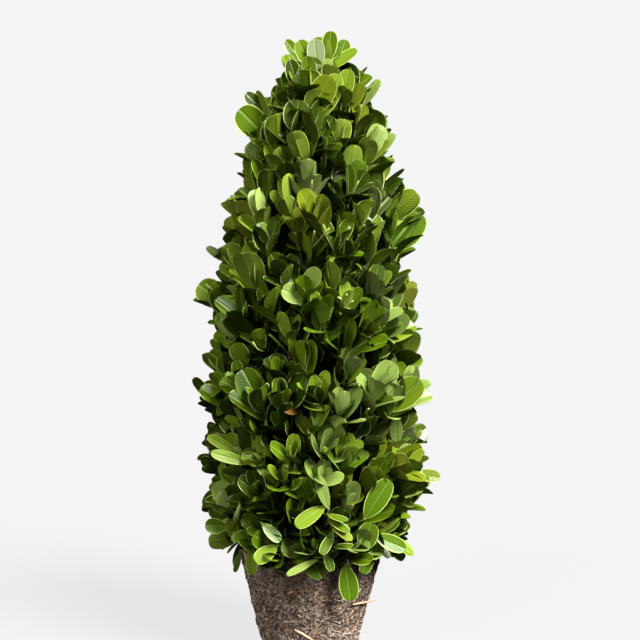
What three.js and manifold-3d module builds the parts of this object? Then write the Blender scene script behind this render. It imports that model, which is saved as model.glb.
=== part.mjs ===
// A boxwood clipped to a slender cone, standing on its pot-shaped root ball.
//
// Millimetres, +Z up. The origin is the middle of the root ball's flat underside.
//
// The crown is one clipped mass laid out along growth lines. A growth line starts on the crown's
// outline, at the height it is named after, and runs back into the crown at the growth angle for that
// height: leaves droop at the skirt, stand out at the waist and point straight up at the tip. Twigs
// follow growth lines out of a smaller core. A leaf that would touch the root ball, the stem or another
// leaf is folded closer to its twig, or left out where that doesn't help.

import * as THREE from 'three';
import { mergeVertices } from 'three/addons/utils/BufferGeometryUtils.js';
import Module from 'manifold-3d';

const wasm = await Module();
wasm.setup();

// Driving dimensions
const OVERALL_HEIGHT = 398;
const LEAN = THREE.MathUtils.degToRad(1.1); // of the crown, towards +X, from the top of the root ball

const BALL = { height: 70, topRadius: 44.5, footRadius: 28, shoulder: 4, footEdge: 2, sides: 40 };

const CROWN = {
  radius: 72, // at the waist
  waistHeight: 150,
  skirtHeight: 56, // the lowest leaf tips
  roundingDepth: 115, // from the waist down to where the rounded skirt would close
  lowestAngle: -62, // growth angle at the skirt, degrees above the horizon
  tipAngle: 86, // growth angle at the top
  angleRise: 0.57, // how early the angle climbs between the two
};

const STEM = { footRadius: 7, flare: 3.2, flareHeight: 16, tipRadius: 2, tipHeight: 352, sides: 12 };

const CORE = { depth: 35, steps: 10, sides: 18, footRadius: 29, topLine: 390 }; // depth along a growth line
const CLEARANCE = 0.3; // between solids that rest on each other
const FINEST = 0.12; // detail that is smoothed away where leaves are joined
const APART = 0.005; // least distance between corners of the joined foliage
const BALL_MARGIN = 1.5; // between the crown and the root ball, which doesn't lean

const TWIGS = 84;
const END_FILL = 0.7; // how much denser twigs are at the top and at the skirt than half-way up
const TWIG = { rootDepth: 45, endDepth: 25, rootRadius: 1.8, endRadius: 1.1, sides: 3 };
const LEAF = {
  length: 31,
  width: 17.5,
  thickness: 1,
  cup: 1.8, // how far the middle lies below the rim
  waist: 0.5, // where the leaf is widest, as a share of its length
  tipWidth: 0.52, // width at the blunt tip, as a share of the leaf's width
  tipStart: 0.93, // where the blunt tip is cut, as a share of the length
  start: 0.15, // how far from the twig's axis a leaf's foot begins, inside the twig
};
// Pairs of leaves along a twig, each turned a quarter from the last: how far back from the twig's end
// they stand, how widely they spread from it in degrees, and their size.
const PAIRS = [
  { back: 11, spread: 66, size: 1 },
  { back: 6, spread: 44, size: 1 },
  { back: 0.8, spread: 22, size: 0.9 },
];
const FOLDS = [1, 0.72, 0.45]; // shares of the spread that are tried until the leaf has room
// Sprigs that have outgrown the clipped outline: height of their tips, degrees round from +X, and how far
// they stand out along their growth lines.
const OUTGROWN = [
  { height: 112, turn: -6, out: 10 },
  { height: 172, turn: -14, out: 6 },
  { height: 172, turn: 186, out: 5 },
  { height: 246, turn: 183, out: 6 },
  { height: 340, turn: 177, out: 8 },
];
const HANGING = { root: [12, -24, 88], node: [23, -46, 66], fall: 35, size: 0.9 }; // one leaf over the ball
const PROBE_SHARE = 0.95; // of a leaf, from its tip, that keeps off other leaves
const SIZE_SPREAD = 0.14;
const ANGLE_SPREAD = THREE.MathUtils.degToRad(9);
const GOLDEN_TURN = Math.PI * (3 - Math.sqrt(5));
const SEED = 11;

const material = (color, roughness) => new THREE.MeshStandardMaterial({ color, roughness, metalness: 0 });
const LOOKS = {
  leaf: material(0x4c6a14, 0.5),
  bark: material(0x6f5c45, 0.85),
  rootBall: material(0x5f5145, 0.95),
};

// A repeatable source of numbers from 0 to 1
function seeded(seed) {
  let state = seed >>> 0;
  return () => {
    state = (state + 0x6d2b79f5) >>> 0;
    let t = Math.imul(state ^ (state >>> 15), state | 1);
    t ^= t + Math.imul(t ^ (t >>> 7), t | 61);
    return ((t ^ (t >>> 14)) >>> 0) / 4294967296;
  };
}

// The crown's outline: its radius at a height, rounded over the top and drawn in under the skirt
function crownRadius(height) {
  if (height > CROWN.waistHeight) {
    const rise = (height - CROWN.waistHeight) / (OVERALL_HEIGHT - CROWN.waistHeight);
    return CROWN.radius * Math.max(0, 1 - rise ** 2) ** (2 / 3);
  }
  const drop = (CROWN.waistHeight - height) / CROWN.roundingDepth;
  return CROWN.radius * Math.sqrt(Math.max(0, 1 - drop ** 3));
}

// The angle above the horizon at which foliage grows where its tips are at this height, in radians
function growthAngle(height) {
  const share = (height - CROWN.skirtHeight) / (OVERALL_HEIGHT - CROWN.skirtHeight);
  const degrees = CROWN.lowestAngle + (CROWN.tipAngle - CROWN.lowestAngle) * share ** CROWN.angleRise;
  return THREE.MathUtils.degToRad(degrees);
}

// The point of a growth line at a depth behind its tip, as a radius and a height
function alongGrowth(tipHeight, depth) {
  const angle = growthAngle(tipHeight);
  return new THREE.Vector2(
    crownRadius(tipHeight) - depth * Math.cos(angle),
    tipHeight - depth * Math.sin(angle),
  );
}

const ballRadius = (height) =>
  THREE.MathUtils.mapLinear(height, 0, BALL.height, BALL.footRadius, BALL.topRadius);

// A closed geometry as a manifold-3d solid
function toSolid(geometry) {
  const bare = geometry.clone();
  bare.deleteAttribute('normal');
  bare.deleteAttribute('uv');
  const merged = mergeVertices(bare, 1e-3);
  return new wasm.Manifold(
    new wasm.Mesh({
      numProp: 3,
      vertProperties: merged.attributes.position.array,
      triVerts: new Uint32Array(merged.index.array),
    }),
  );
}

// Moves corners that nearly meet apart, each a little way in under its own surface, so that leaves which
// only just touch don't come to share an edge
function setApart(geometry) {
  const { position, normal } = geometry.attributes;
  const cell = (x) => Math.floor(x / APART);
  const key = (x, y, z) => x + ' ' + y + ' ' + z;
  for (let round = 1; round <= 8; round++) {
    const cells = new Map();
    const place = new THREE.Vector3();
    const other = new THREE.Vector3();
    const inward = new THREE.Vector3();
    let moved = 0;
    for (let i = 0; i < position.count; i++) {
      place.fromBufferAttribute(position, i);
      const [x, y, z] = place.toArray().map(cell);
      const near = [];
      for (const dx of [-1, 0, 1])
        for (const dy of [-1, 0, 1])
          for (const dz of [-1, 0, 1]) near.push(...(cells.get(key(x + dx, y + dy, z + dz)) ?? []));
      const met = near.filter((j) => other.fromBufferAttribute(position, j).distanceTo(place) < APART);
      if (met.length) {
        inward.fromBufferAttribute(normal, i).multiplyScalar(-APART * (0.7 + met.length));
        position.setXYZ(i, ...place.add(inward).toArray());
        moved++;
      }
      const home = key(...place.toArray().map(cell));
      cells.set(home, [...(cells.get(home) ?? []), i]);
    }
    if (!moved) return geometry;
  }
  return geometry;
}

// The largest shell of a solid: scraps are dropped, and hollows that leaves happen to seal are filled
function largestShell(solid) {
  const shells = solid.decompose();
  return shells.reduce((best, shell) => (shell.volume() > best.volume() ? shell : best));
}

// Many solids joined into one, as a flat-shaded geometry
function joined(pieces) {
  const solid = largestShell(largestShell(wasm.Manifold.union(pieces)).asOriginal().simplify(FINEST));
  const { numVert, numProp, vertProperties, triVerts } = solid.getMesh();
  const places = new Float32Array(numVert * 3);
  for (let i = 0; i < numVert; i++) places.set(vertProperties.subarray(i * numProp, i * numProp + 3), i * 3);
  const indexed = new THREE.BufferGeometry();
  indexed.setAttribute('position', new THREE.BufferAttribute(places, 3));
  indexed.setIndex(new THREE.BufferAttribute(new Uint32Array(triVerts), 1));
  indexed.computeVertexNormals();
  const flat = setApart(indexed).toNonIndexed();
  flat.computeVertexNormals();
  return flat;
}

// A solid of revolution about +Z from a profile of (radius, height) points that runs upwards
function turned(profile, sides) {
  return new THREE.LatheGeometry(profile, sides).rotateX(Math.PI / 2);
}

// A straight limb between two points, tapering evenly, with flat ends
function taperedLimb(from, to, fromRadius, toRadius, sides) {
  const along = new THREE.Vector3().subVectors(to, from);
  const limb = new THREE.CylinderGeometry(toRadius, fromRadius, along.length(), sides);
  const turn = new THREE.Quaternion().setFromUnitVectors(
    new THREE.Vector3(0, 1, 0),
    along.clone().normalize(),
  );
  return limb
    .applyQuaternion(turn)
    .translate(...new THREE.Vector3().addVectors(from, to).divideScalar(2).toArray());
}

// One leaf as a closed spoon-shaped lens of ten faces: it grows from the origin along +Y, faces +Z,
// is narrow at its foot and blunt at its tip
function leafGeometry(size) {
  const length = LEAF.length * size;
  const half = (LEAF.width * size) / 2;
  const middle = LEAF.waist * length;
  const rim = [
    [0, 0, 0],
    [half, middle, 0],
    [half * LEAF.tipWidth, LEAF.tipStart * length, 0],
    [-half * LEAF.tipWidth, LEAF.tipStart * length, 0],
    [-half, middle, 0],
  ];
  const top = [0, middle, LEAF.thickness - LEAF.cup];
  const under = [0, middle, -LEAF.cup];
  const faces = rim.flatMap((corner, i) => {
    const next = rim[(i + 1) % rim.length];
    return [corner, next, top, next, corner, under];
  });
  const geometry = new THREE.BufferGeometry();
  geometry.setAttribute('position', new THREE.Float32BufferAttribute(faces.flat(), 3));
  return geometry;
}

// True if a geometry keeps clear of the root ball and the stem. Corners and points along the edges are
// tried, because both are round.
function hasRoom(geometry) {
  const loose = geometry.index ? geometry.toNonIndexed() : geometry;
  const places = loose.attributes.position;
  const corner = [new THREE.Vector3(), new THREE.Vector3(), new THREE.Vector3()];
  const point = new THREE.Vector3();
  for (let i = 0; i < places.count; i += 3) {
    corner.forEach((c, k) => c.fromBufferAttribute(places, i + k));
    for (let edge = 0; edge < 3; edge++)
      for (const share of [0, 0.25, 0.5, 0.75]) {
        point.lerpVectors(corner[edge], corner[(edge + 1) % 3], share);
        const radius = Math.hypot(point.x, point.y);
        const byBall = point.z < BALL.height + BALL_MARGIN;
        if (byBall && radius < ballRadius(point.z) + BALL_MARGIN) return false;
        const byStem = point.z < STEM.tipHeight + 2 * CLEARANCE;
        if (byStem && radius < STEM.footRadius * (1 - point.z / STEM.tipHeight) + STEM.tipRadius + 1) return false;
      }
  }
  return true;
}

// True if a solid runs through one that is already there
function crosses(solid, placed) {
  const { min, max } = solid.boundingBox();
  return placed.some((other) => {
    const apart = [0, 1, 2].some((k) => other.max[k] < min[k] || other.min[k] > max[k]);
    return !apart && !solid.intersect(other.solid).isEmpty();
  });
}

// Tries one leaf at a time and keeps the first that has room
function firstWithRoom(frames, size, placed) {
  for (const frame of frames) {
    const leaf = leafGeometry(size).applyMatrix4(frame);
    const blade = toSolid(bladeProbe(size).applyMatrix4(frame));
    if (!hasRoom(leaf) || crosses(blade, placed)) continue;
    placed.push({ solid: blade, ...blade.boundingBox() });
    return [toSolid(leaf)];
  }
  return [];
}

// A twig on one growth line, moved out along it, with its pairs of leaves, as solids. A leaf is tried at its full spread and
// then folded closer to the twig, and it is left out if no fold keeps it clear of what is already there.
function sprig(tipHeight, turn, out, random, placed) {
  const outward = new THREE.Vector3(Math.cos(turn), Math.sin(turn), 0);
  const place = (depth) => {
    const at = alongGrowth(tipHeight, depth - out);
    return outward.clone().multiplyScalar(at.x).setZ(at.y);
  };
  const root = place(TWIG.rootDepth);
  const wobble = new THREE.Vector3(random() - 0.5, random() - 0.5, random() - 0.5);
  const forward = place(0).sub(root).normalize().addScaledVector(wobble, 2 * ANGLE_SPREAD).normalize();
  const end = root.clone().addScaledVector(forward, TWIG.rootDepth - TWIG.endDepth);
  const twig = taperedLimb(root, end, TWIG.rootRadius, TWIG.endRadius, TWIG.sides);
  if (!hasRoom(twig)) return [];

  const pieces = [toSolid(twig)];
  const firstTurn = random() * Math.PI;
  PAIRS.forEach((pair, p) => {
    const node = end.clone().addScaledVector(forward, -pair.back);
    for (const side of [0, Math.PI]) {
      const around = firstTurn + (p * Math.PI) / 2 + side + (random() - 0.5) * 0.5;
      const size = pair.size * (1 + (random() - 0.5) * 2 * SIZE_SPREAD);
      const frames = FOLDS.map((fold) =>
        leafFrame(node, forward, around, THREE.MathUtils.degToRad(pair.spread * fold)),
      );
      pieces.push(...firstWithRoom(frames, size, placed));
    }
  });
  return pieces;
}

// The leaf that hangs in front of the root ball, with its twig
function hangingSprig(placed) {
  const root = new THREE.Vector3(...HANGING.root);
  const node = new THREE.Vector3(...HANGING.node);
  const forward = node.clone().sub(root).normalize();
  const frame = leafFrame(node, forward, -Math.PI / 2, THREE.MathUtils.degToRad(HANGING.fall));
  const end = node.clone().addScaledVector(forward, TWIG.endRadius);
  const twig = taperedLimb(root, end, TWIG.rootRadius, TWIG.endRadius, TWIG.sides);
  return [toSolid(twig), ...firstWithRoom([frame], HANGING.size, placed)];
}

// The outer part of a leaf, which has to stay off other leaves. Its foot may touch its twig's others.
function bladeProbe(size) {
  return leafGeometry(size * PROBE_SHARE).translate(0, LEAF.length * size * (1 - PROBE_SHARE), 0);
}

// Where a leaf stands that leaves its node at an angle to the twig, its upper face towards the twig's end
function leafFrame(node, forward, around, spread) {
  const square = new THREE.Vector3(0, 0, 1).cross(forward).normalize();
  const sideways = square.applyAxisAngle(forward, around);
  const along = forward.clone().multiplyScalar(Math.cos(spread)).addScaledVector(sideways, Math.sin(spread));
  const face = forward.clone().multiplyScalar(Math.sin(spread)).addScaledVector(sideways, -Math.cos(spread));
  const across = new THREE.Vector3().crossVectors(along, face);
  const frame = new THREE.Matrix4().makeBasis(across, along, face);
  return frame.setPosition(node.clone().addScaledVector(along, LEAF.start));
}

// The core: the part of the crown behind its leaves, without the room for the stem
function coreSolid(stemRoom) {
  const floor = BALL.height + BALL_MARGIN;
  const profile = [new THREE.Vector2(0, floor), new THREE.Vector2(CORE.footRadius, floor)];
  for (let i = 0; i <= CORE.steps; i++)
    profile.push(alongGrowth(THREE.MathUtils.lerp(CROWN.skirtHeight, CORE.topLine, i / CORE.steps), CORE.depth));
  const last = profile.at(-1);
  profile.push(new THREE.Vector2(0, last.y + last.x));
  return toSolid(turned(profile, CORE.sides)).subtract(stemRoom);
}

// The profile of the stem, wider by a margin all round: its flare, its even taper and its blunt tip
function stemProfile(margin) {
  const foot = BALL.height + CLEARANCE - margin;
  const flareTop = BALL.height + STEM.flareHeight;
  return [
    new THREE.Vector2(0, foot),
    new THREE.Vector2(STEM.footRadius + STEM.flare + margin, foot),
    new THREE.Vector2(STEM.footRadius + STEM.flare * 0.3 + margin, foot + STEM.flareHeight * 0.35),
    new THREE.Vector2(STEM.footRadius + margin, flareTop),
    new THREE.Vector2(STEM.tipRadius + margin, STEM.tipHeight + margin),
    new THREE.Vector2(0, STEM.tipHeight + margin),
  ];
}

// The foliage: its core, and the twigs and leaves that stand out of it. Twigs are spread evenly over the
// crown's outline, a golden turn from one to the next.
function foliage(stemRoom) {
  const random = seeded(SEED);
  const strips = 200;
  const share = (i) => THREE.MathUtils.lerp(CROWN.skirtHeight, OVERALL_HEIGHT, (i + 0.5) / strips);
  const heights = Array.from({ length: strips }, (_, i) => share(i));
  const slope = (h) => crownRadius(h + 0.5) - crownRadius(h - 0.5);
  const middle = (CROWN.skirtHeight + OVERALL_HEIGHT) / 2;
  const fill = (h) => 1 + END_FILL * ((h - middle) / (OVERALL_HEIGHT - middle)) ** 2;
  const areas = heights.map((h) => crownRadius(h) * Math.hypot(1, slope(h)) * fill(h));
  const whole = areas.reduce((sum, area) => sum + area, 0);
  const placed = [];
  const pieces = [coreSolid(stemRoom), ...hangingSprig(placed)];
  pieces.push(...sprig(OVERALL_HEIGHT, 0, 0, random, placed));
  for (const { height, turn, out } of OUTGROWN)
    pieces.push(...sprig(height, THREE.MathUtils.degToRad(turn), out, random, placed));
  let passed = 0;
  let strip = 0;
  for (let i = 0; i < TWIGS; i++) {
    while (strip < strips - 1 && passed + areas[strip] < (whole * (i + 0.5)) / TWIGS) passed += areas[strip++];
    const turn = i * GOLDEN_TURN + (random() - 0.5) * 0.3;
    pieces.push(...sprig(heights[strip], turn, 0, random, placed));
  }
  return joined(pieces);
}

// The root ball keeps the shape of the pot it grew in: tapering sides, a rounded shoulder, a flat foot
function rootBall() {
  const { height, topRadius, footRadius, shoulder, footEdge, sides } = BALL;
  const slope = (topRadius - footRadius) / height;
  const profile = [new THREE.Vector2(0, 0), new THREE.Vector2(footRadius - footEdge, 0)];
  profile.push(new THREE.Vector2(footRadius + footEdge * slope, footEdge));
  for (let i = 0; i <= 4; i++) {
    const turn = (i / 4) * (Math.PI / 2);
    profile.push(
      new THREE.Vector2(
        topRadius - shoulder * (1 - Math.cos(turn)) - slope * shoulder * (1 - Math.sin(turn)),
        height - shoulder * (1 - Math.sin(turn)),
      ),
    );
  }
  profile.push(new THREE.Vector2(0, height));
  return turned(profile, sides);
}

function named(name, geometry, look) {
  const mesh = new THREE.Mesh(geometry, look);
  mesh.name = name;
  return mesh;
}

// The leaning crown turns about the middle of the root ball's top
function crown() {
  const lean = new THREE.Group();
  lean.position.set(0, 0, BALL.height);
  lean.rotation.y = LEAN;
  const upright = new THREE.Group();
  upright.position.set(0, 0, -BALL.height);
  lean.add(upright);

  upright.add(named('stem', turned(stemProfile(0), STEM.sides), LOOKS.bark));
  const stemRoom = toSolid(turned(stemProfile(CLEARANCE), STEM.sides));
  upright.add(named('foliage', foliage(stemRoom), LOOKS.leaf));
  return lean;
}

const topiary = new THREE.Group();
topiary.add(named('root_ball', rootBall(), LOOKS.rootBall));
topiary.add(crown());

export default topiary;
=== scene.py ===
"""Boxwood cone topiary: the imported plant, dressed with leaves, twigs, bark and a fibrous root ball."""
import math

import bpy
import numpy as np
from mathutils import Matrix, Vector


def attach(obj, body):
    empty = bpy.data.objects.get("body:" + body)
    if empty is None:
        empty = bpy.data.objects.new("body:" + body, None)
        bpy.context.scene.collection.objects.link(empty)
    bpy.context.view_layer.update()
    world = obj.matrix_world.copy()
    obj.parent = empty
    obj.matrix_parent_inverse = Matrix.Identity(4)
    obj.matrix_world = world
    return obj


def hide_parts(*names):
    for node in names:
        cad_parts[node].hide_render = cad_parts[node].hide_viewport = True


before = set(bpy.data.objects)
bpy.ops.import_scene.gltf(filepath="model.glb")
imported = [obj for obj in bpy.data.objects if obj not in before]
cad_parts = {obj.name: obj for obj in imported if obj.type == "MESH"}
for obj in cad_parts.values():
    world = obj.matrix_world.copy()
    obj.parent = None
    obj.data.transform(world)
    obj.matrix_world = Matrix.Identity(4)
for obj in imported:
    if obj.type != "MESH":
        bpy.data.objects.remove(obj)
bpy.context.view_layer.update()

# Sizes are in millimetres and turns in degrees, as in the part's source, save where a comment says radians.
# Meshes are made in metres.
MM = 0.001
BODY = "root"
SEED = 3
GOLDEN_TURN = math.pi * (3 - math.sqrt(5))

# The crown's top and how far the plant leans to the right.
TOP = 398
LEAN = 1.1

# The root ball: radii of its top and foot, and of the rounding at its shoulder and at the edge of its foot.
BALL = {"height": 70, "top": 44.5, "foot": 28, "shoulder": 4, "foot_edge": 2}

# The clipped outline: its radius at the waist, the skirt's height, and how far below the waist it would
# close.
CROWN = {"radius": 70.5, "waist": 150, "skirt": 56, "rounding": 109}

# The line of growth: its angle at the skirt and at the tip, and the power of its rise between them.
GROWTH = {"lowest": -26, "steepest": 85, "rise": 0.35}

# Shallow tiers of growth: height of one, distance between them, share that they swell, and their tilt in
# radians.
TIERS = {"peak": 285, "apart": 55, "swell": 0.05, "tilt": 0.7}

# The stem: radii at its foot and tip, its flare's extra radius, and the height that the flare dies away
# over.
STEM = {"foot": 7, "flare": 3.2, "flare_height": 16, "tip": 2, "tip_height": 352}

# Swells and hollows of the clipped outline: height, turn round the stem and how far it stands out. Each
# fades over a height, and over an angle in radians to its sides.
SWELLS = [
    (352, 178, 4),
    (150, 180, -1),
    (100, 182, 2),
    (176, -2, 4),
    (285, -2, 4),
    (356, 2, 4),
]
SWELL_FADES = {"height": 9, "side": 0.45}

# Sprigs that have outgrown the outline: height, turn, how far they stand out, and tint.
OUTGROWN = [
    (206, 172, 4, "deep"),
    (163, 186, 4, "deep"),
    (308, 184, 3, "mid"),
    (326, -6, 3, "olive"),
    (336, 0, 4, "mid"),
    (150, 180, 4, "deep"),
    (306, -3, 4, "fresh"),
    (98, -5, 3, "mid"),
    (112, -6, 3, "fresh"),
    (176, -28, 3, "lime"),
    (338, 160, 4, "mid"),
    (300, 60, 4, "mid"),
    (180, 100, 5, "deep"),
    (120, 140, 4, "fresh"),
    (240, 40, 4, "mid"),
]

# Upright shoots that make the blunt tip: distance from the stem, turn, height of the shoot's end, and tint.
CREST = [
    (3, 70, 366, "fresh"),
    (8, 165, 360, "mid"),
    (8, -60, 352, "mid"),
    (10, 15, 356, "fresh"),
    (14, 250, 346, "mid"),
    (13, 110, 354, "mid"),
    (16, -20, 342, "fresh"),
    (17, 195, 340, "deep"),
    (18, 60, 344, "olive"),
]

# Leaves that stand out on the side that is seen: base, then the tip's x and height, how far the tip leans
# towards the viewer, how far the face is tilted up, slimness and tint.
PLACED = [
    (-9, -1, 374, -21, 388, 1, 0.20, 0.40, "mid"),
    (-4, -7, 371, -13, 388, 2, 0.10, 0.56, "fresh"),
    (-1, -9, 370, -3, 389, 3, 0.40, 0.58, "silver"),
    (5, -1, 375, 7, 394, 0, 0.05, 0.52, "mid"),
    (10, -1, 370, 16, 389, 0, 0.10, 0.52, "mid"),
    (14, -21, 350, 18, 371, 2, 0.30, 0.50, "fresh"),
    (19, -18, 346, 27, 363, 3, 0.40, 0.42, "olive"),
    (4, -8, 370, 23, 383, 3, 0.50, 0.40, "fresh"),
    (-4, -13, 362, -8, 379, 5, 0.05, 0.50, "fresh"),
    (-12, -11, 357, -18, 376, 1, 0.10, 0.50, "deep"),
    (-6, -24, 341, 7, 367, 5, 0.10, 0.56, "olive"),
    (2, -24, 341, 11, 368, 4, 0.10, 0.44, "fresh"),
    (-15, -24, 332, -12, 352, 5, 0.05, 0.80, "grey"),
    (-31, -1, 327, -49, 345, 3, 0.10, 0.72, "mid"),
    (-34, -1, 344, -45, 355, 0, 0.20, 0.55, "deep"),
    (27, -1, 348, 37, 365, 2, 0.45, 0.36, "lime"),
    (34, -1, 315, 47, 332, 2, 0.45, 0.36, "lime"),
    (-55, -1, 249, -68, 259, 0, 0.55, 0.45, "grey"),
    (-55, -1, 222, -73, 235, 1, 0.15, 0.78, "fresh"),
    (-64, -1, 161, -76, 175, 0, 0.50, 0.40, "deep"),
    (65, -1, 116, 82, 114, 0, 0.35, 0.50, "olive"),
    (33, -52, 98, 47, 123, 5, 0.20, 0.46, "vivid"),
    (-7, -54, 165, -18, 169, 9, 0.35, 0.50, "russet"),
    (-7, -50, 236, 1, 253, 9, 0.15, 0.52, "lime"),
    (-2, -51, 233, -20, 240, 9, 0.20, 0.56, "lime"),
    (11, -62, 106, 4, 128, 6, 0.40, 0.30, "lime"),
    (9, -61, 108, -9, 97, 6, 0.50, 0.46, "fresh"),
    (53, -21, 138, 52, 156, 5, 0.20, 0.42, "lime"),
    (45, -34, 162, 66, 183, 4, 0.10, 0.58, "fresh"),
    (-45, -40, 135, -64, 147, 6, 0.20, 0.27, "fresh"),
    (-37, -46, 130, -61, 138, 6, 0.25, 0.27, "fresh"),
    (22, -48, 69, 26, 45, -2, 0.03, 0.50, "vivid"),
    (-36, -40, 76, -36, 59, 1, 0.20, 0.42, "fresh"),
    (-20, -54, 81, -33, 71, 3, 0.45, 0.62, "fresh"),
    (-43, -30, 71, -47, 57, 0, 0.20, 0.26, "grey"),
    (5, -58, 74, -14, 65, 4, 0.60, 0.26, "lime"),
    (9, -58, 79, 14, 67, 2, 0.15, 0.42, "mid"),
    (39, -40, 77, 33, 61, 2, 0.20, 0.46, "vivid"),
    (42, -38, 78, 50, 71, 1, 0.45, 0.45, "silver"),
    (50, -28, 75, 59, 67, 0, 0.45, 0.62, "fresh"),
    (39, -43, 86, 59, 78, 2, 0.30, 0.46, "vivid"),
    (33, -50, 77, 37, 96, 3, 0.10, 0.66, "vivid"),
    (-52, -25, 85, -66, 86, 1, 0.20, 0.70, "vivid"),
    (-30, -54, 95, -18, 85, 4, 0.40, 0.46, "vivid"),
    (10, -61, 103, 22, 101, 8, 0.80, 0.50, "mid"),
    (11, -61, 100, 23, 94, 8, 0.80, 0.50, "mid"),
    (11, -61, 98, 25, 89, 8, 0.85, 0.50, "olive"),
    (13, -60, 83, 26, 84, 6, 0.80, 0.56, "mid"),
    (14, -61, 92, 7, 79, 5, 0.35, 0.40, "mid"),
    (53, -1, 259, 65, 282, 0, 0.20, 0.62, "vivid"),
]

# Buds and bare stalks that show between the leaves: foot, tip and radius. Their form swells before the tip.
STALKS = [
    ((18, -50, 230), (14, -60, 236), 0.7),
    ((18, -50, 230), (19, -61, 238), 0.8),
    ((18, -50, 230), (23, -60, 234), 0.7),
    ((18, -50, 230), (21, -62, 229), 0.7),
    ((14, -50, 226), (16, -62, 226), 0.8),
    ((-4, -44, 262), (-1, -54, 275), 0.6),
    ((-4, -44, 262), (8, -55, 277), 0.6),
    ((14, -44, 262), (20, -55, 278), 0.8),
    ((-6, -40, 290), (-3, -47, 305), 0.6),
    ((20, -40, 292), (25, -46, 305), 0.6),
    ((-38, -12, 282), (-51, -20, 290), 0.6),
    ((-56, -6, 228), (-68, -10, 236), 0.6),
    ((-30, -44, 200), (-37, -55, 207), 0.7),
    ((30, -46, 160), (34, -58, 168), 0.7),
    ((-12, -52, 130), (-15, -66, 133), 0.8),
    ((26, 42, 240), (32, 54, 250), 0.8),
    ((-22, 46, 190), (-26, 60, 196), 0.8),
    ((10, 52, 140), (12, 66, 146), 0.8),
    ((50, 20, 180), (62, 26, 188), 0.7),
]
STALK_FORM = [0.7, 0.7, 0.65, 0.65, 0.8, 1.15, 0.8]

# Layers of sprigs from the outside in: how many, how far inside the outline, and how much that varies.
LAYERS = [
    {"count": 300, "inset": 0, "varies": 5},
    {"count": 180, "inset": 14, "varies": 5},
    {"count": 130, "inset": 29, "varies": 6},
]

# How far a sprig's end lies behind the outline, the room that leaves need beside an upright shoot, and the
# lowest and highest end of a sprig. A sprig is left out where the crown is narrower than the least radius.
SPRIG_DEPTH = 13
SIDE_ROOM = 9.5
SPRIG_LIMITS = (CROWN["skirt"] + 20, TOP - 32)
LEAST_RADIUS = 14

# How much sprigs differ, as a standard deviation. The height is in millimetres, and the three turns are in
# radians.
SPRIG_VARIES = {"height": 2.5, "turn": 0.06, "angle": 0.26, "aside": 0.2, "size": 0.15}

# Pairs of leaves from a sprig's tip down: distance back along the shoot, angle off it, and size.
PAIRS = [
    {"back": 0.0, "spread": 12, "size": 0.78},
    {"back": 3.6, "spread": 24, "size": 0.94},
    {"back": 8.5, "spread": 35, "size": 1.0},
    {"back": 14.5, "spread": 46, "size": 1.0},
]

# A typical leaf: slimness is width over length, fold is the slope of each half, cup curves it across and
# arch back.
LEAF = {"length": 24.5, "slimness": 0.54, "thickness": 0.5, "fold": 0.07, "cup": 0.030, "arch": 0.07}

# How much leaves differ from it, as a standard deviation. The roll is in radians and the spread in degrees.
LEAF_VARIES = {
    "roll": 0.16,
    "spread": 9,
    "along": 0.06,
    "up": 0.26,
    "size": 0.1,
    "slimness": 0.045,
    "fold": 0.10,
    "cup": 0.020,
    "arch": 0.12,
    "twist": 0.12,
}

# How far a leaf's face turns out to the light, how high that light stands, and how far a leaf's tip turns
# up.
LIGHTWARD = 0.34
LIGHT_RISE = 0.45
UPWARD = 0.32

# A leaf's rows, by the angle of a half circle from stalk to tip, and its columns, by shares of its half
# width. The strips between the columns take these materials.
LEAF_ROWS = [20, 45, 70, 94, 116, 136, 154, 169]
LEAF_COLUMNS = [-1, -0.915, -0.04, 0.04, 0.915, 1]
SIDES = ["upper", "margin", "underside", "midrib"]
STRIPS = ["margin", "upper", "midrib", "upper", "margin"]

# A leaf piece's own map has three by three cells. In each, the upper face lies on the left and the
# underside on the right: the middle of each, the half width, and how far rows and ends stay from the cell's
# edge.
LEAF_CELLS = 3
UPPER_MIDDLE = 0.25
UNDER_MIDDLE = 0.75
MAP_HALF = 0.22
MAP_EDGE = 0.03
MAP_END = 0.02

# A piece of leaves is split in equal parts past this many.
LEAVES_A_PIECE = 1750

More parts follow.
